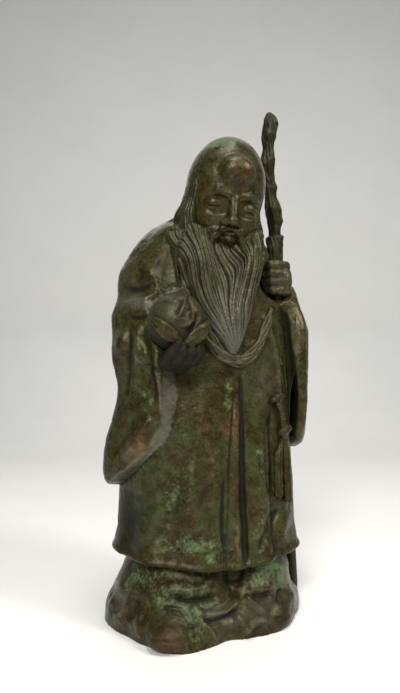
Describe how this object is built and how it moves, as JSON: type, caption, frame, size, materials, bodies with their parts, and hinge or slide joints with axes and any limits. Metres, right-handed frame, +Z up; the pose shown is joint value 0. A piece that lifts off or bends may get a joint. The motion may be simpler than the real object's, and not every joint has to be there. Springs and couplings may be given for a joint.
{
  "type": "statue",
  "caption": "Cast bronze statue of a bearded robed sage on a rock base, with a peach on one hand and a crooked staff that lifts out of the other fist.",
  "frame": {"origin": "middle of the bounding box's footprint, on the surface that the rock stands on", "axes": "+Z up, -Y the way the figure faces, +X the figure's left hand"},
  "size_m": [0.1364, 0.1074, 0.318],
  "materials": {
    "bronze": "brown patina with green verdigris, satin",
    "dark_bronze": "dark brown patina, satin",
    "rubbed_bronze": "reddish brown, rubbed bright on the high points",
    "pin_metal": "plain"
  },
  "bodies": {
    "figure": {"robe_body": "bronze", "under_robe": "dark_bronze", "rock_base": "dark_bronze", "right_sleeve": "bronze", "left_sleeve": "bronze", "head": "bronze", "beard": "bronze", "collar_cord": "bronze", "right_hand": "rubbed_bronze", "left_hand": "rubbed_bronze", "peach": "rubbed_bronze", "peach_leaf_left": "rubbed_bronze", "peach_leaf_right": "rubbed_bronze", "tassel_knot": "bronze", "tassel": "bronze", "right_shoe": "rubbed_bronze", "left_shoe": "dark_bronze", "peach_peg": "pin_metal", "neck_pin": "pin_metal", "beard_pin": "pin_metal", "right_sleeve_pin_upper": "pin_metal", "right_sleeve_pin_lower": "pin_metal", "left_sleeve_pin_upper": "pin_metal", "left_sleeve_pin_lower": "pin_metal", "tassel_pin": "pin_metal", "right_wrist_pin": "pin_metal", "left_wrist_pin": "pin_metal", "clamp_screw_1": "pin_metal", "clamp_screw_2": "pin_metal", "clamp_screw_3": "pin_metal", "clamp_screw_4": "pin_metal"},
    "staff": {"staff": "rubbed_bronze"}
  },
  "joints": [
    {"name": "staff_lift", "type": "slide", "parent": "figure", "child": "staff", "axis": [-0.094, -0.0469, 0.9945], "range_m": [0, 0.22]}
  ]
}
